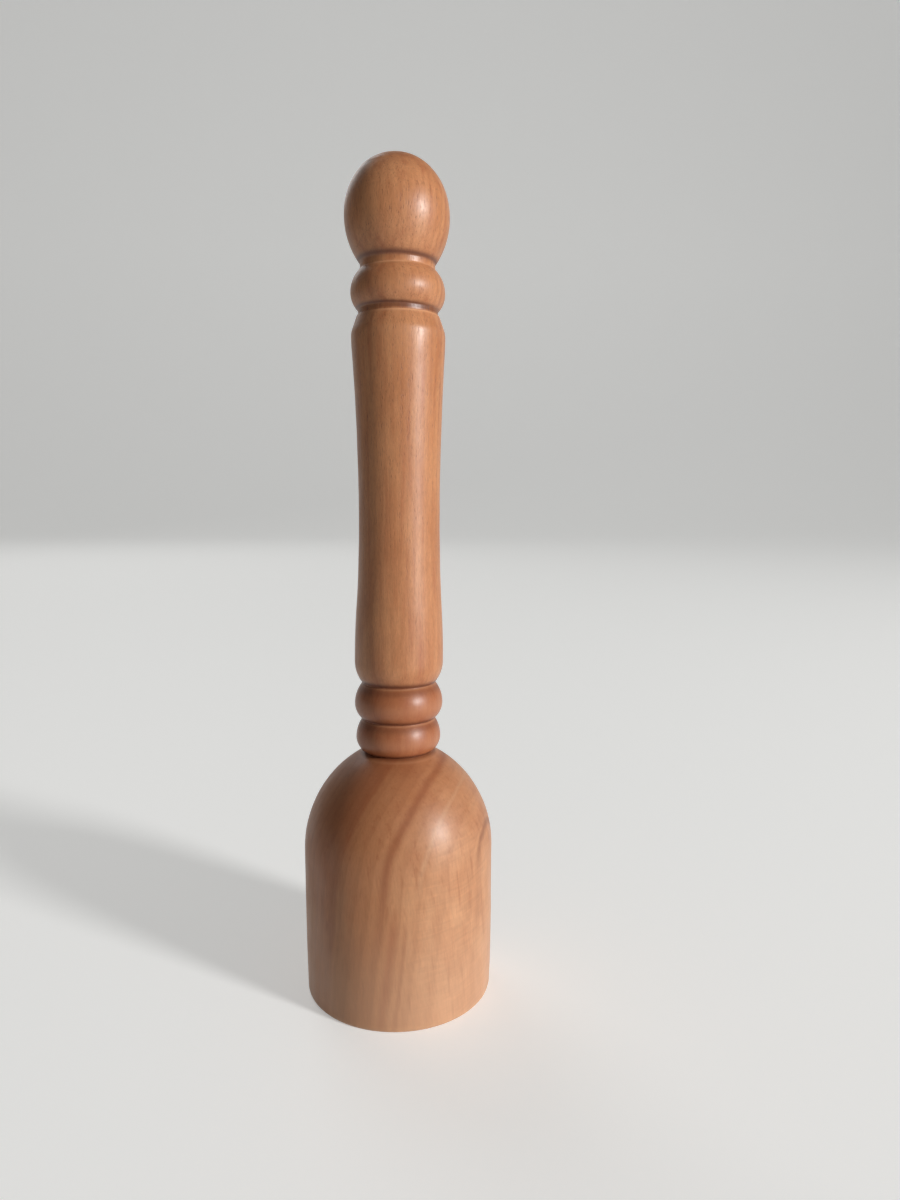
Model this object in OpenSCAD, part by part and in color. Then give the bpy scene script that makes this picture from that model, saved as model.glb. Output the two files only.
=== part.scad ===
// Meat masher: a hand-turned wooden pestle for mashing cooked meat and pulses.
// Two pieces: a domed cylindrical head and a long turned handle with a knob.
// The handle's round tenon is glued into a blind socket in the top of the head.
// Millimetres, +Z up, origin at the centre of the flat mashing face.

/* [Head] */
// Widest diameter of the head
head_d = 70; // [56:0.5:90]
// How far the wall draws in from the belly down to the mashing face, per side
face_inset = 0.5; // [0.1:0.1:3]
// Height of the belly, the level where the drawn-in lower wall ends
belly_h = 38; // [20:0.5:52]
// Height of the wall, up to where the dome starts
wall_h = 54.5; // [53:0.5:90]
// Height of the dome above the wall
dome_h = 36; // [24:0.5:60]
// Rounding of the edge of the mashing face
face_edge_r = 1.2; // [0.5:0.1:5]

/* [Joint] */
// Diameter of the flat land on the dome, and of the handle's shoulder that sits on it
seat_d = 25; // [22:0.5:30]
// Diameter of the tenon
tenon_d = 18; // [10:0.5:20]
// Length of the tenon below the shoulder
tenon_l = 36; // [15:0.5:60]
// Chamfer at the end of the tenon
tenon_chamfer = 1.5; // [0.5:0.1:4]
// Radial clearance of the tenon in its socket, filled by the glue
glue_gap = 0.1; // [0.05:0.05:0.3]
// Depth of the socket past the end of the tenon
glue_well = 2; // [0.5:0.5:6]

/* [Beads] */
// Widest diameter of the bead next to the head
foot_bead_d = 31.3; // [31:0.1:40]
// Height of the bead next to the head
foot_bead_h = 12.2; // [8:0.1:20]
// Widest diameter of the bead under the grip
collar_bead_d = 32.4; // [31:0.1:40]
// Height of the bead under the grip
collar_bead_h = 13.3; // [8:0.1:20]
// Widest diameter of the bead above the grip
top_bead_d = 33.4; // [31:0.1:40]
// Height of the bead above the grip
top_bead_h = 13.8; // [8:0.1:20]
// Level of a bead's widest place, as a share of the bead's own height
bead_level = 0.43; // [0.3:0.01:0.7]
// Diameter at the bottom of the two grooves under the grip
low_groove_d = 26.7; // [22:0.1:30]
// Diameter of the plain channel above the grip
top_groove_d = 28.2; // [22:0.1:30]
// Height of that channel
top_groove_h = 1.9; // [1:0.1:4]

/* [Grip] */
// Length of the grip, from the groove under it to its top edge
grip_l = 130.1; // [90:0.1:180]
// Diameter of the grip's lower swelling
grip_low_d = 32.5; // [31:0.1:42]
// Diameter of the grip at its waist
grip_waist_d = 29.3; // [22:0.1:31]
// Diameter of the grip at its top shoulder
grip_top_d = 33.3; // [31:0.1:42]
// Height of the rounding under the lower swelling
grip_low_round_h = 7.9; // [4:0.1:15]
// Height of the bevel above the top shoulder
grip_bevel_h = 4.7; // [3:0.1:12]
// How far the grip's top edge stands out from the channel, per side
grip_lip = 0.5; // [0.2:0.1:1]
// Height of the small rounding between the top shoulder and the bevel
grip_shoulder_h = 2.3; // [1:0.1:4]
// How far that rounding draws in, per side
grip_shoulder_in = 0.4; // [0.2:0.05:0.7]
// Level of the waist, as a share of the grip's length
waist_level = 0.472; // [0.35:0.001:0.6]
// Share of the way from the swelling to the waist where the curve turns hollow
low_turn = 0.37; // [0.1:0.01:0.9]
// Share of the way from the waist to the top shoulder where the curve turns full
top_turn = 0.93; // [0.1:0.01:0.95]

/* [Knob] */
// Diameter of the plain neck under the knob
neck_d = 26.4; // [22:0.1:30]
// Height of the plain neck
neck_h = 2; // [1:0.1:6]
// Widest diameter of the knob
knob_d = 36.8; // [31:0.1:50]
// Height of the knob's lower part, from the neck to its widest level
knob_low_h = 15.7; // [10:0.1:25]
// Height of the knob's crown above its widest level
knob_crown_h = 20.5; // [12:0.1:30]
// Fullness of the crown: 2 is an ellipse, and more is squarer
knob_fullness = 2.08; // [2:0.01:2.6]

/* [Hidden] */
$fn = 128;
head_colour = [0.69, 0.46, 0.32];
handle_colour = [0.62, 0.36, 0.23];
// Largest angle between two points of a turned curve, and the fewest steps on it
arc_step = 4;
arc_least = 6;
// Reach of the socket's cutter above the land, so that it cuts clean
cut_over = 1;

// Levels along the axis, from the mashing face up
head_h = wall_h + dome_h;
low_groove_z = head_h + foot_bead_h;
grip_z = low_groove_z + collar_bead_h;
swelling_z = grip_z + grip_low_round_h;
waist_z = grip_z + grip_l * waist_level;
lip_z = grip_z + grip_l;
top_groove_z = lip_z + top_groove_h;
bevel_z = lip_z - grip_bevel_h;
shoulder_z = bevel_z - grip_shoulder_h;
neck_z = top_groove_z + top_bead_h;
knob_z = neck_z + neck_h;
knob_widest_z = knob_z + knob_low_h;

// The socket takes its size from the tenon
socket_d = tenon_d + 2 * glue_gap;
socket_l = tenon_l + glue_well;

// Points are [radius, height].
// A circular arc that starts straight along the axis at one point and ends at another
function turned_arc(start, end) =
    let (
        rise = end[1] - start[1],
        draw_in = start[0] - end[0],
        sweep = 2 * atan2(draw_in, abs(rise)),
        arc_r = draw_in == 0 ? 0 : abs(rise) / sin(sweep),
        steps = max(arc_least, ceil(abs(sweep) / arc_step))
    )
    draw_in == 0 ? [start, end] : [
        for (i = [0 : steps])
            let (a = sweep * i / steps)
            [start[0] - arc_r * (1 - cos(a)), start[1] + sign(rise) * arc_r * sin(a)]
    ];

// The same points from last to first
function reversed(points) = [for (i = [len(points) - 1 : -1 : 0]) points[i]];

// An S-curve between two places where the outline runs along the axis
function ogee(start, end, turn) =
    let (middle = start + turn * (end - start))
    concat(turned_arc(start, middle), reversed(turned_arc(end, middle)));

// A bead between two grooves
function bead(groove_below, groove_above, bead_r) =
    let (
        level = groove_below[1] + bead_level * (groove_above[1] - groove_below[1]),
        widest = [bead_r, level]
    )
    concat(reversed(turned_arc(widest, groove_below)), turned_arc(widest, groove_above));

// A crown from a widest place up to the axis
function crown(start, height) =
    let (steps = ceil(90 / arc_step))
    [
        for (i = [0 : steps])
            let (a = 90 * i / steps)
            [
                start[0] * pow(cos(a), 2 / knob_fullness),
                start[1] + height * pow(sin(a), 2 / knob_fullness)
            ]
    ];

// A quarter round at the outer edge of a face at height 0
function face_edge(face_r, edge_r) =
    let (steps = ceil(90 / arc_step))
    [
        for (i = [0 : steps])
            let (a = 90 * i / steps)
            [face_r - edge_r * (1 - sin(a)), edge_r * (1 - cos(a))]
    ];

head_r = head_d / 2;
face_r = head_r - face_inset;
seat = [seat_d / 2, head_h];
low_groove = [low_groove_d / 2, low_groove_z];
grip_foot = [low_groove_d / 2, grip_z];
swelling = [grip_low_d / 2, swelling_z];
waist = [grip_waist_d / 2, waist_z];
shoulder = [grip_top_d / 2, shoulder_z];
bevel = [grip_top_d / 2 - grip_shoulder_in, bevel_z];
lip = [top_groove_d / 2 + grip_lip, lip_z];
channel_foot = [top_groove_d / 2, lip_z];
top_groove = [top_groove_d / 2, top_groove_z];
neck = [neck_d / 2, neck_z];
knob_foot = [neck_d / 2, knob_z];
knob_widest = [knob_d / 2, knob_widest_z];

head_outline = concat(
    [[0, 0]],
    face_edge(face_r, face_edge_r),
    reversed(turned_arc([head_r, belly_h], [face_r, face_edge_r])),
    turned_arc([head_r, wall_h], seat),
    [[0, head_h]]
);

tenon_end_z = head_h - tenon_l;
handle_outline = concat(
    [
        [0, tenon_end_z],
        [tenon_d / 2 - tenon_chamfer, tenon_end_z],
        [tenon_d / 2, tenon_end_z + tenon_chamfer],
        [tenon_d / 2, head_h]
    ],
    bead(seat, low_groove, foot_bead_d / 2),
    bead(low_groove, grip_foot, collar_bead_d / 2),
    reversed(turned_arc(swelling, grip_foot)),
    ogee(swelling, waist, low_turn),
    ogee(waist, shoulder, top_turn),
    turned_arc(shoulder, bevel),
    [lip, channel_foot],
    bead(top_groove, neck, top_bead_d / 2),
    reversed(turned_arc(knob_widest, knob_foot)),
    crown(knob_widest, knob_crown_h)
);

// An outline without the points that repeat the one before
function without_repeats(points) = [
    for (i = [0 : len(points) - 1])
        if (i == 0 || norm(points[i] - points[max(i - 1, 0)]) > 0.001) points[i]
];

module turned(outline) {
    rotate_extrude() polygon(without_repeats(outline));
}

// The mashing head, bored from the top for the handle
module head() {
    color(head_colour) difference() {
        turned(head_outline);
        translate([0, 0, head_h - socket_l]) cylinder(h = socket_l + cut_over, d = socket_d);
    }
}

// The handle, turned in one length with its tenon, beads, grip and knob
module handle() {
    color(handle_colour) turned(handle_outline);
}

head();
handle();
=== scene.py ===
"""A turned wooden meat masher, dressed for the render: two lathed pieces in varnished hardwood."""
import math

import bpy
import numpy as np
from mathutils import Euler, Matrix, Vector, noise


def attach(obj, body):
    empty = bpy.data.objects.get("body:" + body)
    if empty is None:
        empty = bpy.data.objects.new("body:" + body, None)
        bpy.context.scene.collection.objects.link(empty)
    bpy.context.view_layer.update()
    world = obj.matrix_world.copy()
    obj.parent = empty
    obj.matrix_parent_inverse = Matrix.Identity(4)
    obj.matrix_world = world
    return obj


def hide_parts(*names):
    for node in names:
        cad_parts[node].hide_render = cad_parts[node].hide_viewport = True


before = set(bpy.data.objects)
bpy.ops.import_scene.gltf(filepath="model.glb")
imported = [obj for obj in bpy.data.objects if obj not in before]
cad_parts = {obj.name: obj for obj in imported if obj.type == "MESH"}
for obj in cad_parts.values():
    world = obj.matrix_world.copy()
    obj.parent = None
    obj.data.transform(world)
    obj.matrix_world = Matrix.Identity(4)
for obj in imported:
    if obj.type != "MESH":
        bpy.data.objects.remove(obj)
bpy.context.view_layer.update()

MM = 0.001

# Camera, from the lines of sight in the photo
FOCAL_PX = 830.2
IMAGE_LONG_PX = 1200
SENSOR_MM = 36
EYE_DISTANCE = 301.5 * MM
EYE_HEIGHT = 181.2 * MM
PITCH_DOWN = math.radians(6.626)
YAW_RIGHT = math.radians(3.621)
ROLL = math.radians(0.172)

# Sizes in millimetres, the same as the CAD solids have
FACE_R = 34.5
FACE_EDGE_R = 1.2
HEAD_R = 35
BELLY_Z = 38
WALL_Z = 54.5
SEAT = (12.5, 90.5)
SOCKET_R = 9.1
SOCKET_Z = 52.5
TENON_R = 9
TENON_Z = 54.5
TENON_CHAMFER = 1.5
BEAD_LEVEL = 0.43
LOW_GROOVE = (13.35, 102.7)
GRIP_FOOT = (13.35, 116)
SWELLING = (16.25, 123.9)
WAIST = (14.65, 177.42)
SHOULDER = (16.65, 239.1)
BEVEL = (16.25, 241.4)
LIP = (14.6, 246.1)
CHANNEL_FOOT = (14.1, 246.1)
TOP_GROOVE = (14.1, 248)
NECK = (13.2, 261.8)
KNOB_FOOT = (13.2, 263.8)
KNOB_WIDEST = (18.4, 279.5)
KNOB_TOP_Z = 300
KNOB_FULLNESS = 2.08
FOOT_BEAD_R = 15.65
COLLAR_BEAD_R = 16.2
TOP_BEAD_R = 16.7
LOW_TURN = 0.37
TOP_TURN = 0.93

# Lathe work, in millimetres
ARC_POINTS = 160
CORNER_TURN = math.radians(9)
CORNER_SOFTNESS = 0.22
CORNER_STEPS = 4
FINE_STEP = 0.14
STEP_GROWTH = 0.3
HEAD_SEGMENTS = 288
HEAD_STEP = 0.9
HANDLE_SEGMENTS = 208
HANDLE_STEP = 0.75
HANDLE_BOW = 0.7

# How far the hand-worked surface stands in from the outline: on average, and in long and short waves
UNEVEN_MEAN = 0.10
UNEVEN_LONG = 0.16
UNEVEN_SHORT = 0.05
LONG_WAVE = 31
SHORT_WAVE = 7


def srgb(red, green, blue):
    """A colour written as 0 to 255 display values, as linear RGBA."""
    linear = [((v / 255 + 0.055) / 1.055) ** 2.4 for v in (red, green, blue)]
    return (*linear, 1.0)


# Outlines of the turned pieces, as (radius, height) points in millimetres


def line(start, end):
    """A straight stretch of outline."""
    return np.linspace(start, end, ARC_POINTS)


def turned_arc(start, end):
    """A circular arc that leaves its start straight along the axis."""
    rise = end[1] - start[1]
    draw_in = start[0] - end[0]
    sweep = 2 * math.atan2(draw_in, abs(rise))
    radius = abs(rise) / math.sin(sweep)
    turn = np.linspace(0, sweep, ARC_POINTS)
    across = start[0] - radius * (1 - np.cos(turn))
    along = start[1] + math.copysign(1, rise) * radius * np.sin(turn)
    return np.column_stack((across, along))


def ogee(start, end, turn):
    """An S-curve between two places where the outline runs along the axis."""
    middle = np.add(start, turn * np.subtract(end, start))
    return [turned_arc(start, middle), turned_arc(end, middle)[::-1]]


def bead_level(below, above):
    """The height of a bead's widest place, from the grooves on its two sides."""
    return below[1] + BEAD_LEVEL * (above[1] - below[1])


def bead(below, above, widest_r):
    """A bead between two grooves."""
    widest = (widest_r, bead_level(below, above))
    return [turned_arc(widest, below)[::-1], turned_arc(widest, above)]


def crown(widest, top_z):
    """The knob's top, from its widest place up to the axis."""
    turn = np.linspace(0, math.pi / 2, ARC_POINTS)
    power = 2 / KNOB_FULLNESS
    across = widest[0] * np.clip(np.cos(turn), 0, 1) ** power
    along = widest[1] + (top_z - widest[1]) * np.sin(turn) ** power
    return np.column_stack((across, along))


def face_edge():
    """The small rounding at the edge of the mashing face."""
    turn = np.linspace(0, math.pi / 2, ARC_POINTS)
    across = FACE_R - FACE_EDGE_R * (1 - np.sin(turn))
    along = FACE_EDGE_R * (1 - np.cos(turn))
    return np.column_stack((across, along))


def head_outline():
    """The stretches of the head's outline, with the blind socket bored from the top."""
    edge = face_edge()
    return [
        line((0, 0), edge[0]),
        edge,
        turned_arc((HEAD_R, BELLY_Z), edge[-1])[::-1],
        line((HEAD_R, BELLY_Z), (HEAD_R, WALL_Z)),
        turned_arc((HEAD_R, WALL_Z), SEAT),
        line(SEAT, (SOCKET_R, SEAT[1])),
        line((SOCKET_R, SEAT[1]), (SOCKET_R, SOCKET_Z)),
        line((SOCKET_R, SOCKET_Z), (0, SOCKET_Z)),
    ]


def handle_outline():
    """The stretches of the handle's outline, from the end of the tenon to the top of the knob."""
    return [
        line((0, TENON_Z), (TENON_R - TENON_CHAMFER, TENON_Z)),
        line((TENON_R - TENON_CHAMFER, TENON_Z), (TENON_R, TENON_Z + TENON_CHAMFER)),
        line((TENON_R, TENON_Z + TENON_CHAMFER), (TENON_R, SEAT[1])),
        line((TENON_R, SEAT[1]), SEAT),
        *bead(SEAT, LOW_GROOVE, FOOT_BEAD_R),
        *bead(LOW_GROOVE, GRIP_FOOT, COLLAR_BEAD_R),
        turned_arc(SWELLING, GRIP_FOOT)[::-1],
        *ogee(SWELLING, WAIST, LOW_TURN),
        *ogee(WAIST, SHOULDER, TOP_TURN),
        turned_arc(SHOULDER, BEVEL),
        line(BEVEL, LIP),
        line(LIP, CHANNEL_FOOT),
        line(CHANNEL_FOOT, TOP_GROOVE),
        *bead(TOP_GROOVE, NECK, TOP_BEAD_R),
        line(NECK, KNOB_FOOT),
        turned_arc(KNOB_WIDEST, KNOB_FOOT)[::-1],
        crown(KNOB_WIDEST, KNOB_TOP_Z),
    ]


def lengths(points):
    """The distance along an outline at each of its points."""
    steps = np.linalg.norm(np.diff(points, axis=0), axis=1)
    return np.concatenate(([0], np.cumsum(steps)))


def at_lengths(points, wanted):
    """The points of an outline at the wanted distances along it."""
    along = lengths(points)
    return np.column_stack([np.interp(wanted, along, points[:, i]) for i in (0, 1)])


def turns_sharply(before, after):
    """Whether two stretches of outline meet in a corner."""
    a, b = before[-1] - before[-2], after[1] - after[0]
    cosine = a @ b / np.linalg.norm(a) / np.linalg.norm(b)
    return math.acos(min(1, max(-1, cosine))) > CORNER_TURN


def graded(length, step, fine_start, fine_end):
    """Distances along a stretch: close together by a corner, and further apart away from it."""
    places = [0.0]
    while True:
        s = places[-1]
        reach = min(s if fine_start else math.inf, length - s if fine_end else math.inf)
        places.append(s + min(step, FINE_STEP + STEP_GROWTH * max(reach, 0)))
        if places[-1] >= length:
            return np.array(places) * length / places[-1]


def softened(corner, before, after):
    """A corner rounded as sanding and varnish leave it, between the ends of two stretches."""
    t = np.linspace(0, 1, CORNER_STEPS + 2)[1:-1, None]
    return (1 - t) ** 2 * before + 2 * t * (1 - t) * corner + t**2 * after


def rows(stretches, step):
    """One outline out of its stretches, at the rows of points that the lathe turns."""
    count = len(stretches)
    sharp = [turns_sharply(stretches[i], stretches[i + 1]) for i in range(count - 1)]
    sharp = [False, *sharp, False]
    out = []
    for i, stretch in enumerate(stretches):
        cut = [CORNER_SOFTNESS * sharp[i], CORNER_SOFTNESS * sharp[i + 1]]
        whole = lengths(stretch)[-1]
        places = cut[0] + graded(whole - sum(cut), step, sharp[i], sharp[i + 1])
        points = at_lengths(stretch, places)
        if sharp[i]:
            out.extend(softened(stretch[0], out[-1], points[0]))
        out.extend(points if sharp[i] or not out else points[1:])
    return np.array(out)


# Meshes


def unevenness(points):
    """How far the wood stands in from its turned outline, in millimetres, at points in millimetres."""
    long = np.array([noise.noise(Vector(p) / LONG_WAVE) for p in points])
    short = np.array([noise.noise(Vector(p) / SHORT_WAVE + Vector((9, 4, 2))) for p in points])
    return np.clip(UNEVEN_MEAN + UNEVEN_LONG * long + UNEVEN_SHORT * short, 0, None)


def turned_points(outline, segments):
    """The outline turned about the axis, row by row, with its two ends on the axis last."""
    turn = np.arange(segments) * 2 * math.pi / segments
    ring = outline[1:-1]
    x = ring[:, :1] * np.cos(turn)
    y = ring[:, :1] * np.sin(turn)
    z = np.repeat(ring[:, 1:], segments, axis=1)
    points = np.stack((x, y, z), axis=-1).reshape(-1, 3)
    ends = [[0, 0, outline[0, 1]], [0, 0, outline[-1, 1]]]
    return np.vstack((points, ends))


def turned_faces(outline, segments):
    """The faces between the turned points, and their places on a map that unrolls the piece."""
    count = len(outline) - 2
    last = (count - 1) * segments
    low = count * segments
    high = low + 1
    along = lengths(outline) / lengths(outline)[-1]
    faces, maps = [], []
    for i in range(segments):
        j = (i + 1) % segments
        u, w = i / segments, (i + 1) / segments
        faces.append((low, j, i))
        maps.append(((u + w) / 2, 0, w, along[1], u, along[1]))
        for row in range(count - 1):
            a, b = row * segments, (row + 1) * segments
            near, far = along[row + 1], along[row + 2]
            faces.append((a + i, a + j, b + j, b + i))
            maps.append((u, near, w, near, w, far, u, far))
        faces.append((last + i, last + j, high))
        maps.append((u, along[-2], w, along[-2], (u + w) / 2, 1))
    return faces, np.concatenate(maps)


def lathe(name, stretches, segments, step, bend=None):
    """A closed turned piece in the CAD's place, and its points in millimetres."""
    outline = rows(stretches, step)
    outline[0, 0] = outline[-1, 0] = 0
    points = hand_worn(turned_points(outline, segments))
    if bend:
        points = bend(points)
    faces, maps = turned_faces(outline, segments)
    mesh = bpy.data.meshes.new(name)
    mesh.from_pydata((points * MM).tolist(), [], faces)
    layer = mesh.uv_layers.new(name="OFBake")
    layer.data.foreach_set("uv", maps.astype(np.float32))
    mesh.polygons.foreach_set("use_smooth", np.ones(len(faces), bool))
    mesh.update()
    piece = bpy.data.objects.new(name, mesh)
    bpy.context.scene.collection.objects.link(piece)
    return piece, points


def paint(piece, name, values):
    """A number at each vertex, for the materials to read."""
    layer = piece.data.attributes.new(name, "FLOAT", "POINT")
    layer.data.foreach_set("value", np.asarray(values, np.float32))


def nearness(points, places, reach):
    """1 at any of the (radius, height) places, falling smoothly to 0 at about twice the reach."""
    flat = np.column_stack((np.hypot(points[:, 0], points[:, 1]), points[:, 2]))
    gaps = [np.linalg.norm(flat - np.array(p), axis=1) for p in places]
    return np.exp(-((np.min(gaps, axis=0) / reach) ** 2))


def bowed(points):
    """The handle's slight bow to the right, as it has dried."""
    share = np.clip((points[:, 2] - SEAT[1]) / (KNOB_TOP_Z - SEAT[1]), 0, 1)
    out = points.copy()
    out[:, 0] += HANDLE_BOW * np.sin(math.pi * share)
    return out


def hand_worn(points):
    """Points moved in by the unevenness of hand work, with the hidden faces left as they are."""
    radius = np.hypot(points[:, 0], points[:, 1])
    shown = (radius > SEAT[0] + 0.3) & (points[:, 2] > 0.3)
    scale = np.ones(len(points))
    scale[shown] = 1 - unevenness(points[shown]) / radius[shown]
    return points * np.column_stack((scale, scale, np.ones(len(points))))


# Places on the outline: grooves with stain and painted shade, lips with painted highlights, and crests
# where the varnish has worn pale
GROOVES = [SEAT, LOW_GROOVE, GRIP_FOOT, KNOB_FOOT]
CHANNEL = [
    (TOP_GROOVE[0], CHANNEL_FOOT[1] + share * (TOP_GROOVE[1] - CHANNEL_FOOT[1]))
    for share in (0.45, 0.75, 1.05)
]
FAINT_LIP_HIGHLIGHTS = [LOW_GROOVE, GRIP_FOOT]
BRIGHT_LIP_HIGHLIGHTS = [LIP, NECK]
CRESTS = [
    (FOOT_BEAD_R, bead_level(SEAT, LOW_GROOVE)),
    (COLLAR_BEAD_R, bead_level(LOW_GROOVE, GRIP_FOOT)),
    (TOP_BEAD_R, bead_level(TOP_GROOVE, NECK)),
    SHOULDER,
]


def moved(places, out, up):
    """The same (radius, height) places, moved out from the axis and up along it."""
    return [(r + out, z + up) for r, z in places]


def make_head():
    """The mashing head, with stain and painted shade at its joint, a painted highlight just below it, and a
    worn rim.
    """
    piece, points = lathe("head_turned", head_outline(), HEAD_SEGMENTS, HEAD_STEP)
    # Stain and painted shade at the joint under the handle's foot bead
    paint(piece, "stain_and_shade", nearness(points, [SEAT], 1.3))
    # A faint painted highlight line on the dome just below the joint
    paint(piece, "lip", nearness(points, moved([SEAT], 1.9, -1.2), 0.6))
    paint(piece, "rim", nearness(points, [(FACE_R, 0)], 1.5))
    return piece


def make_handle():
    """The handle, with stain and painted shade in its grooves, painted highlights on its lips, and worn
    crests.
    """
    piece, points = lathe("handle_turned", handle_outline(), HANDLE_SEGMENTS, HANDLE_STEP, bend=bowed)
    # Stain and painted shade: strong on the underside above each groove, weaker below the low ones, and in
    # the top channel
    above = nearness(points, moved(GROOVES, 0.4, 0.7), 1.1)
    below = nearness(points, moved([LOW_GROOVE, GRIP_FOOT], 1.2, -1.4), 1.5)
    channel = nearness(points, moved(CHANNEL, 0.1, 0.2), 0.75)
    paint(piece, "stain_and_shade", np.maximum.reduce((above, 0.45 * below, channel)))
    # Painted highlights: thin pale lines on the lips just below the grooves, bright at the top two, faint
    # at the low two
    bright = nearness(points, moved(BRIGHT_LIP_HIGHLIGHTS, 0.1, -0.3), 0.42)
    faint = nearness(points, moved(FAINT_LIP_HIGHLIGHTS, 0.25, -0.35), 0.3)
    paint(piece, "lip", np.maximum(bright, 0.4 * faint))
    paint(piece, "crest", nearness(points, CRESTS, 2.2))
    return piece


head = make_head()
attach(head, "root")
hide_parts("head")

handle = make_handle()
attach(handle, "root")
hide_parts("handle")


# Materials


class Graph:
    """Adds and joins the shader nodes of one material."""

    def __init__(self, name):
        self.material = bpy.data.materials.new(name)
        self.material.use_nodes = True
        self.tree = self.material.node_tree
        self.shader = self.tree.nodes["Principled BSDF"]

    def add(self, kind, inputs=None, **settings):
        """A node with its settings, and its inputs as other nodes' sockets or plain values."""
        node = self.tree.nodes.new("ShaderNode" + kind)
        for key, value in settings.items():
            setattr(node, key, value)
        for key, value in (inputs or {}).items():
            self.feed(node.inputs[key], value)
        return node

    def feed(self, socket, value):
        """Links a socket to another, or sets its own value."""
        if isinstance(value, bpy.types.NodeSocket):
            self.tree.links.new(value, socket)
        else:
            socket.default_value = value

    def math(self, operation, a, b=0.0, c=0.0):
        return self.add("Math", {0: a, 1: b, 2: c}, operation=operation).outputs[0]

    def smooth(self, value, low, high, to_low=0.0, to_high=1.0):
        """A value eased from one range into another, and held at its ends."""
        inputs = {"Value": value, "From Min": low, "From Max": high, "To Min": to_low, "To Max": to_high}
        return self.add("MapRange", inputs, interpolation_type="SMOOTHSTEP").outputs[0]

    def smooth_linear(self, value, low, high):
        """A value taken from one range to 0 to 1, held at its ends."""
        return self.add("MapRange", {"Value": value, "From Min": low, "From Max": high}).outputs[0]

    def noise(self, where, detail=2.0, roughness=0.5, distortion=0.0):
        """Cloud noise from 0 to 1."""
        inputs = {
            "Vector": where,
            "Scale": 1.0,
            "Detail": detail,
            "Roughness": roughness,
            "Distortion": distortion,
        }
        return self.add("TexNoise", inputs).outputs["Fac"]

    def stretched(self, where, across, along):
        """Coordinates in which a feature is so many millimetres wide across the grain and long along it."""
        scale = (1 / across, 1 / across, 1 / along)
        return self.add("VectorMath", {0: where, 1: scale}, operation="MULTIPLY").outputs[0]

    def mix(self, factor, a, b, mode="MIX"):
        node = self.add("Mix", {"Factor": factor}, data_type="RGBA", blend_type=mode)
        self.feed(node.inputs[6], a)
        self.feed(node.inputs[7], b)
        return node.outputs[2]

    def painted(self, name):
        """The number painted on the mesh under a name."""
        return self.add("Attribute", attribute_type="GEOMETRY", attribute_name=name).outputs["Fac"]

    def lay(self, colour, part, share, tint):
        """A colour with a tint laid over it where the part is 1, at a share of full strength."""
        return self.mix(self.math("MULTIPLY", part, share), colour, tint)

    def shade(self, colour, factor, strength):
        """A colour made darker or lighter by a noise around its middle."""
        inputs = {
            "Value": factor,
            "From Min": 0.25,
            "From Max": 0.75,
            "To Min": 1 - strength,
            "To Max": 1 + strength,
        }
        gain = self.add("MapRange", inputs).outputs[0]
        return self.add("VectorMath", {0: colour, "Scale": gain}, operation="SCALE").outputs[0]


# The tree's pith where it passes the table, in millimetres, and the lean and tip of its fibres in degrees
HANDLE_PITH = (70, 26, 0)
HANDLE_LEAN = 0.6
HANDLE_TIP = -0.5
HEAD_PITH = (-32.2, 18.1, 0)
HEAD_LEAN = -3.4
HEAD_TIP = 7.5


def grain_space(g, pith, lean, tip):
    """The place in millimetres, and the same with the tree's pith at the origin and its fibres along Z."""
    space = g.add("TexCoord").outputs["Object"]
    place = g.add("VectorMath", {0: space, "Scale": 1 / MM}, operation="SCALE").outputs[0]
    rotation = Euler((math.radians(tip), math.radians(lean), 0))
    inputs = {"Vector": place, "Location": pith, "Rotation": rotation}
    return place, g.add("Mapping", inputs, vector_type="TEXTURE").outputs[0]


def pith_distance(g, grain, waver):
    """The distance from the pith in millimetres, which wavers as growth rings do."""
    flat = g.add("VectorMath", {0: grain, 1: (1, 1, 0)}, operation="MULTIPLY").outputs[0]
    radius = g.add("VectorMath", {0: flat}, operation="LENGTH").outputs["Value"]
    slow = g.math("SUBTRACT", g.noise(g.stretched(grain, 17, 60), detail=2), 0.5)
    quick = g.math("SUBTRACT", g.noise(g.stretched(grain, 2.2, 17), detail=3), 0.5)
    radius = g.math("MULTIPLY_ADD", slow, waver, radius)
    return g.math("MULTIPLY_ADD", quick, waver * 0.3, radius)


def ring_lines(g, radius, spacing):
    """The late wood of each ring, dark at its outer edge, from 0 to 1."""
    within = g.math("FRACT", g.math("DIVIDE", radius, spacing))
    return g.math("MULTIPLY", g.smooth(within, 0.35, 0.9), g.smooth(within, 1.0, 0.9))


def band(g, radius, centre, half_width):
    """1 in the middle of one growth layer, fading to 0 at its sides."""
    off = g.math("ABSOLUTE", g.math("SUBTRACT", radius, centre))
    return g.smooth(off, half_width, 0.0)


def vessels(g, grain, width, length, dense):
    """The open vessels of the wood, as dark dashes along the grain, from 0 to 1."""
    field = g.noise(g.stretched(grain, width, length), detail=2, roughness=0.6)
    return g.smooth(field, 0.70 - dense, 0.80 - dense)


def turning_marks(g, place):
    """Faint rings that the gouge and the sandpaper left, as a height from 0 to 1."""
    return g.noise(g.stretched(place, 400, 0.5), detail=3, roughness=0.7)


def spot(g, place, centre, reach):
    """1 at a point of the piece, in millimetres, fading to 0 at a distance from it."""
    off = g.add("VectorMath", {0: place, 1: centre}, operation="DISTANCE").outputs["Value"]
    return g.smooth(off, reach, 0.0)


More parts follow.
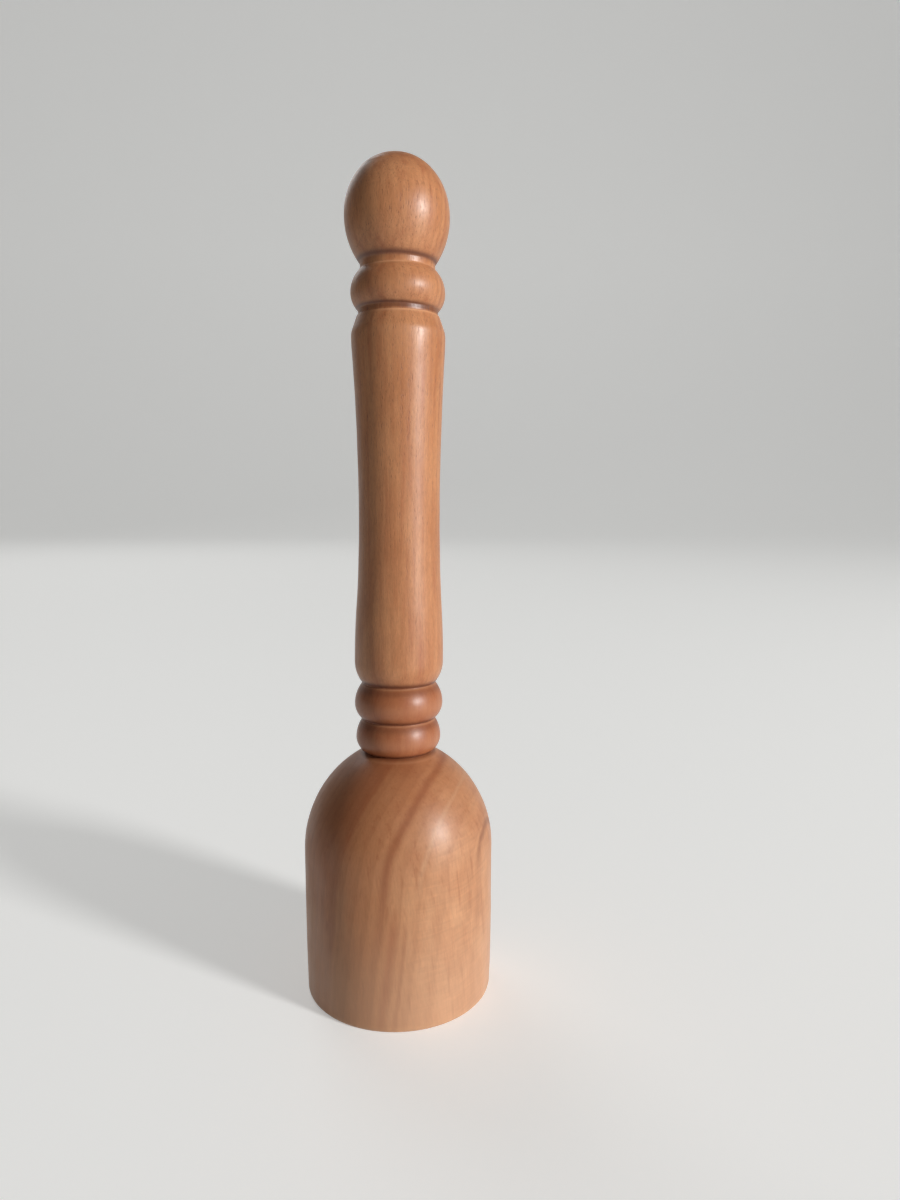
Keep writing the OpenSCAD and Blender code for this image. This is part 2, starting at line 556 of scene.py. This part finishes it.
def varnish(g, grain, clouds, roughness, specular, coat, coat_roughness):
    """A thin satin varnish, its roughness varied in soft clouds of a size across and along the grain."""
    field = g.noise(g.stretched(grain, *clouds), detail=3)
    g.feed(g.shader.inputs["Roughness"], g.smooth(field, 0.2, 0.8, *roughness))
    g.shader.inputs["Specular IOR Level"].default_value = specular
    g.shader.inputs["Coat Weight"].default_value = coat
    g.shader.inputs["Coat Roughness"].default_value = coat_roughness


def relief(g, place, flecks, silk, silk_height, turning_height, strength):
    """The bump of the surface: open vessels, fine grain and turning marks."""
    level = g.math("MULTIPLY_ADD", flecks, -0.8, g.math("MULTIPLY", silk, silk_height))
    level = g.math("MULTIPLY_ADD", turning_marks(g, place), turning_height, level)
    bump = g.add("Bump", {"Height": level, "Strength": strength, "Distance": RELIEF_DEPTH})
    g.feed(g.shader.inputs["Normal"], bump.outputs[0])


RELIEF_DEPTH = 0.12 * MM

# The handle's colours, in the order in which they are laid over each other
HANDLE_DEEP = srgb(190, 125, 82)
HANDLE_PALE = srgb(206, 143, 98)
HANDLE_STREAK = srgb(168, 94, 58)
HANDLE_RING = srgb(146, 82, 50)
HANDLE_VESSEL = srgb(112, 58, 32)
HANDLE_LOW_BEADS = srgb(160, 84, 49)
HANDLE_SCRATCH = srgb(216, 150, 108)
HANDLE_CREST = srgb(226, 170, 128)
# Dark stain with painted shade, for the grooves
HANDLE_STAIN_AND_SHADE = srgb(84, 34, 17)
# Painted highlight colour for the lips
HANDLE_LIP_HIGHLIGHT = srgb(232, 172, 128)


def handle_vessels(g, grain, height, rings):
    """The handle's open vessels: many short ones, mostly towards the knob, and a few long ones."""
    upper = g.smooth(height, 120, 235, 0.3, 1)
    short = g.math("MULTIPLY", vessels(g, grain, 0.34, 2.6, 0.12), upper)
    long = g.math("MULTIPLY", vessels(g, grain, 0.42, 6, 0.04), 0.5)
    in_rings = g.math("MULTIPLY_ADD", rings, 0.4, 0.6)
    return g.math("MULTIPLY", g.math("MAXIMUM", short, long), in_rings)


def handle_wood():
    """The handle's wood: even red-brown, with fine dark vessels, soft streaks, stain and painted shade in
    its grooves, and painted highlights on its lips.
    """
    g = Graph("handle_varnished")
    place, grain = grain_space(g, HANDLE_PITH, HANDLE_LEAN, HANDLE_TIP)
    height = g.add("SeparateXYZ", {0: place}).outputs[2]
    rings = ring_lines(g, pith_distance(g, grain, 2.2), 2.6)
    mottle = g.noise(g.stretched(grain, 6, 26), detail=4, roughness=0.6)
    streaks = g.noise(g.stretched(grain, 2.4, 70), detail=4, roughness=0.55)
    silk = g.noise(g.stretched(grain, 0.5, 2.0), detail=3, roughness=0.7)
    flecks = handle_vessels(g, grain, height, rings)
    scratches = vessels(g, g.stretched(place, 7, 1.0), 1.0, 0.3, 0.03)
    low_beads = g.smooth(height, 124, 112, 0, 0.35)

    colour = g.mix(g.smooth(mottle, 0.3, 0.7), HANDLE_DEEP, HANDLE_PALE)
    colour = g.mix(g.smooth(streaks, 0.48, 0.72, 0, 0.5), colour, HANDLE_STREAK)
    colour = g.lay(colour, rings, 0.13, HANDLE_RING)
    colour = g.shade(colour, silk, 0.13)
    colour = g.lay(colour, flecks, 0.62, HANDLE_VESSEL)
    colour = g.mix(g.smooth(height, 121, 113, 0, 0.6), colour, HANDLE_LOW_BEADS)
    colour = g.lay(colour, scratches, low_beads, HANDLE_SCRATCH)
    colour = g.lay(colour, g.painted("crest"), 0.10, HANDLE_CREST)
    # Stain and painted shade darken the grooves
    colour = g.lay(colour, g.painted("stain_and_shade"), 0.82, HANDLE_STAIN_AND_SHADE)
    # Painted highlights lighten the lips
    colour = g.lay(colour, g.painted("lip"), 0.75, HANDLE_LIP_HIGHLIGHT)
    g.feed(g.shader.inputs["Base Color"], colour)
    varnish(
        g, grain, clouds=(5, 11), roughness=(0.36, 0.48), specular=0.45, coat=0.2, coat_roughness=0.34
    )
    relief(g, place, flecks, silk, silk_height=0.8, turning_height=0.35, strength=0.45)
    return g.material


# The head's tone at distances from the pith, in millimetres
TONE_SPAN = 80
HEAD_TONES = (
    (0, srgb(194, 132, 90)),
    (28, srgb(190, 128, 86)),
    (38, srgb(176, 110, 70)),
    (41.4, srgb(170, 104, 66)),
    (42.6, srgb(194, 132, 88)),
    (51, srgb(196, 133, 89)),
    (56.5, srgb(204, 144, 100)),
    (64, srgb(213, 157, 116)),
    (80, srgb(208, 150, 108)),
)

# Single growth layers on the head: distance from the pith, half width,
# two heights with the layer's strength at each, and its tint
GROWTH_LAYERS = (
    (54.6, 2.2, (30, 60, 0.2, 0.6), srgb(148, 82, 50)),
    (62.0, 0.9, (45, 62, 0, 0.36), srgb(230, 184, 143)),
    (70.8, 0.6, (50, 62, 0.15, 0.6), srgb(120, 66, 40)),
    (57.6, 1.6, (46, 34, 0, 0.5), srgb(160, 84, 50)),
    (60.4, 0.8, (44, 30, 0, 0.4), srgb(150, 82, 50)),
)

# The dark mark near the top of the dome, in millimetres
MARK_PLACE = (3, -15, 88)
MARK_REACH = 9

# The head's other colours, in the order in which they are laid over each other
HEAD_DEEP = srgb(180, 114, 73)
HEAD_BLOTCH = srgb(218, 164, 122)
HEAD_RING = srgb(140, 80, 48)
HEAD_WISP = srgb(156, 86, 52)
HEAD_MARK = srgb(134, 72, 42)
HEAD_VESSEL = srgb(112, 62, 36)
HEAD_DOME = srgb(166, 95, 58)
HEAD_BASE = srgb(226, 180, 146)
# Dark stain with painted shade, for the joint
HEAD_STAIN_AND_SHADE = srgb(84, 36, 18)
# Painted highlight colour for the line below the joint
HEAD_LIP_HIGHLIGHT = srgb(226, 170, 126)
HEAD_RIM = srgb(230, 184, 142)


def head_bands(g, grain, height):
    """The head's growth layers: its tone, rings, clouds, wisps and the single layers that stand out."""
    radius = pith_distance(g, grain, 2.0)
    mottle = g.noise(g.stretched(grain, 7, 17), detail=4, roughness=0.62)
    blotches = g.noise(g.stretched(grain, 16, 24), detail=3, roughness=0.5)
    wisps = g.noise(g.stretched(grain, 1.7, 26), detail=3, roughness=0.6)
    tone = g.add("ValToRGB", {"Fac": g.smooth_linear(radius, 0, TONE_SPAN)})
    set_stops(tone, HEAD_TONES, TONE_SPAN)
    colour = g.mix(g.smooth(mottle, 0.3, 0.7, 0.4, 0), tone.outputs["Color"], HEAD_DEEP)
    colour = g.mix(g.smooth(blotches, 0.4, 0.7, 0, 0.22), colour, HEAD_BLOTCH)
    colour = g.lay(colour, ring_lines(g, radius, 3.7), 0.14, HEAD_RING)
    colour = g.mix(g.smooth(wisps, 0.52, 0.78, 0, 0.4), colour, HEAD_WISP)
    for centre, half_width, fade, tint in GROWTH_LAYERS:
        colour = g.lay(colour, band(g, radius, centre, half_width), g.smooth(height, *fade), tint)
    return colour


def head_wood():
    """The head's wood: broad slanting growth bands, paler to the base, with a few dark and pale lines."""
    g = Graph("head_varnished")
    place, grain = grain_space(g, HEAD_PITH, HEAD_LEAN, HEAD_TIP)
    sideways, _, height = g.add("SeparateXYZ", {0: place}).outputs
    silk = g.noise(g.stretched(grain, 0.7, 5), detail=3, roughness=0.6)
    flecks = vessels(g, grain, 0.42, 3.0, -0.03)
    ripple = g.noise(g.stretched(grain, 12, 1.9), detail=1, roughness=0.4, distortion=1.2)

    colour = head_bands(g, grain, height)
    colour = g.lay(colour, spot(g, place, MARK_PLACE, MARK_REACH), 0.4, HEAD_MARK)
    colour = g.shade(colour, silk, 0.08)
    colour = g.mix(g.smooth(sideways, -8, 20), colour, g.shade(colour, ripple, 0.07))
    colour = g.lay(colour, flecks, 0.24, HEAD_VESSEL)
    colour = g.mix(g.smooth(height, 40, 88, 0, 0.34), colour, HEAD_DOME)
    colour = g.mix(g.smooth(height, 50, 4, 0, 0.4), colour, HEAD_BASE)
    # Stain and painted shade darken the joint
    colour = g.lay(colour, g.painted("stain_and_shade"), 0.6, HEAD_STAIN_AND_SHADE)
    # A faint painted highlight just below the joint
    colour = g.lay(colour, g.painted("lip"), 0.2, HEAD_LIP_HIGHLIGHT)
    colour = g.lay(colour, g.painted("rim"), 0.35, HEAD_RIM)
    g.feed(g.shader.inputs["Base Color"], colour)
    varnish(
        g, grain, clouds=(6, 12), roughness=(0.4, 0.54), specular=0.42, coat=0.14, coat_roughness=0.3
    )
    relief(g, place, flecks, silk, silk_height=0.6, turning_height=0.3, strength=0.35)
    return g.material


def set_stops(ramp, stops, span):
    """Sets a colour ramp from (place, colour) pairs, with places from 0 to the span."""
    elements = ramp.color_ramp.elements
    while len(elements) < len(stops):
        elements.new(0.5)
    for element, (place, colour) in zip(elements, stops):
        element.position = place / span
        element.color = colour


handle.data.materials.append(handle_wood())
head.data.materials.append(head_wood())


# Studio: floor that curves up into a backdrop, soft lamps, camera

FLOOR_FRONT = -6.0
FLOOR_BACK = 4.0
SWEEP_RADIUS = 2.0
SWEEP_STEPS = 16
WALL_TOP = 5.0
STUDIO_HALF_WIDTH = 8.0
STUDIO_COLOUR = srgb(232, 232, 230)
STUDIO_ROUGHNESS = 0.6
STUDIO_GLOW = 0.45
WORLD_LEVEL = 0.10
LAMP_AIM = (0, 0, 0.14)

# Each lamp's azimuth to the right of the camera's side and elevation in degrees,
# its distance and size in metres, and its level as a part of white
LAMPS = (
    ("key", 54, 15, 3.2, 0.5, 0.9),
    ("back", 205, 38, 3.6, 2.0, 0.12),
)


def sweep_profile():
    """The studio sheet from the side, as (y, z) points: floor, curve and wall."""
    profile = [(FLOOR_FRONT, 0), (FLOOR_BACK, 0)]
    for i in range(1, SWEEP_STEPS + 1):
        turn = math.pi / 2 * i / SWEEP_STEPS
        y = FLOOR_BACK + SWEEP_RADIUS * math.sin(turn)
        profile.append((y, SWEEP_RADIUS * (1 - math.cos(turn))))
    profile.append((FLOOR_BACK + SWEEP_RADIUS, WALL_TOP))
    return profile


def make_studio():
    """One seamless sheet for floor and backdrop."""
    profile = sweep_profile()
    verts = [(x, y, z) for y, z in profile for x in (-STUDIO_HALF_WIDTH, STUDIO_HALF_WIDTH)]
    faces = [(2 * i, 2 * i + 1, 2 * i + 3, 2 * i + 2) for i in range(len(profile) - 1)]
    mesh = bpy.data.meshes.new("studio_sheet")
    mesh.from_pydata(verts, [], faces)
    mesh.polygons.foreach_set("use_smooth", np.ones(len(faces), bool))
    studio = bpy.data.objects.new("studio_sheet", mesh)
    bpy.context.scene.collection.objects.link(studio)
    g = Graph("studio_pale")
    g.shader.inputs["Base Color"].default_value = STUDIO_COLOUR
    g.shader.inputs["Roughness"].default_value = STUDIO_ROUGHNESS
    g.shader.inputs["Emission Color"].default_value = STUDIO_COLOUR
    g.feed(g.shader.inputs["Emission Strength"], g.math("MULTIPLY", seen_directly(g), STUDIO_GLOW))
    mesh.materials.append(g.material)


def aimed(at, eye):
    """The rotation of a lamp at one point that shines on another."""
    return (Vector(at) - Vector(eye)).to_track_quat("-Z", "Y").to_euler()


def softbox(name, azimuth, elevation, distance, size, level):
    """A round lamp that shines on the middle of the masher."""
    a, e = math.radians(azimuth), math.radians(elevation)
    towards = Vector((math.sin(a) * math.cos(e), -math.cos(a) * math.cos(e), math.sin(e)))
    eye = Vector(LAMP_AIM) + distance * towards
    data = bpy.data.lights.new(name, "AREA")
    data.shape = "DISK"
    data.size = size
    data.energy = level * math.pi * math.pi * distance**2
    lamp = bpy.data.objects.new(name, data)
    lamp.location = eye
    lamp.rotation_euler = aimed(LAMP_AIM, eye)
    bpy.context.scene.collection.objects.link(lamp)


def seen_directly(g):
    """1 for rays that show the surface in a view, a reflection or through glass, and 0 for others."""
    path = g.add("LightPath")
    seen = g.math("MAXIMUM", path.outputs["Is Camera Ray"], path.outputs["Is Glossy Ray"])
    return g.math("MAXIMUM", seen, path.outputs["Is Transmission Ray"])


def light_studio():
    """The lamps, and a weak even light from all round."""
    for lamp in LAMPS:
        softbox(*lamp)
    world = bpy.data.worlds.new("studio_world")
    world.use_nodes = True
    background = world.node_tree.nodes["Background"]
    background.inputs["Color"].default_value = (1, 1, 1, 1)
    background.inputs["Strength"].default_value = WORLD_LEVEL
    bpy.context.scene.world = world


def place_camera():
    """The camera where it stood for the photo, in the masher's own frame."""
    forward = Vector((
        math.sin(YAW_RIGHT) * math.cos(PITCH_DOWN),
        math.cos(YAW_RIGHT) * math.cos(PITCH_DOWN),
        -math.sin(PITCH_DOWN),
    ))
    level = Vector((math.cos(YAW_RIGHT), -math.sin(YAW_RIGHT), 0))
    below = forward.cross(level)
    right = math.cos(ROLL) * level - math.sin(ROLL) * below
    down = math.sin(ROLL) * level + math.cos(ROLL) * below
    data = bpy.data.cameras.new("camera")
    data.sensor_fit = "AUTO"
    data.sensor_width = SENSOR_MM
    data.lens = FOCAL_PX / IMAGE_LONG_PX * SENSOR_MM
    data.clip_start = 0.01
    camera = bpy.data.objects.new("camera", data)
    turned = Matrix((right, -down, -forward)).transposed().to_4x4()
    camera.matrix_world = Matrix.Translation((0, -EYE_DISTANCE, EYE_HEIGHT)) @ turned
    bpy.context.scene.collection.objects.link(camera)
    bpy.context.scene.camera = camera


make_studio()
light_studio()
place_camera()
bpy.context.scene.view_settings.view_transform = "Standard"
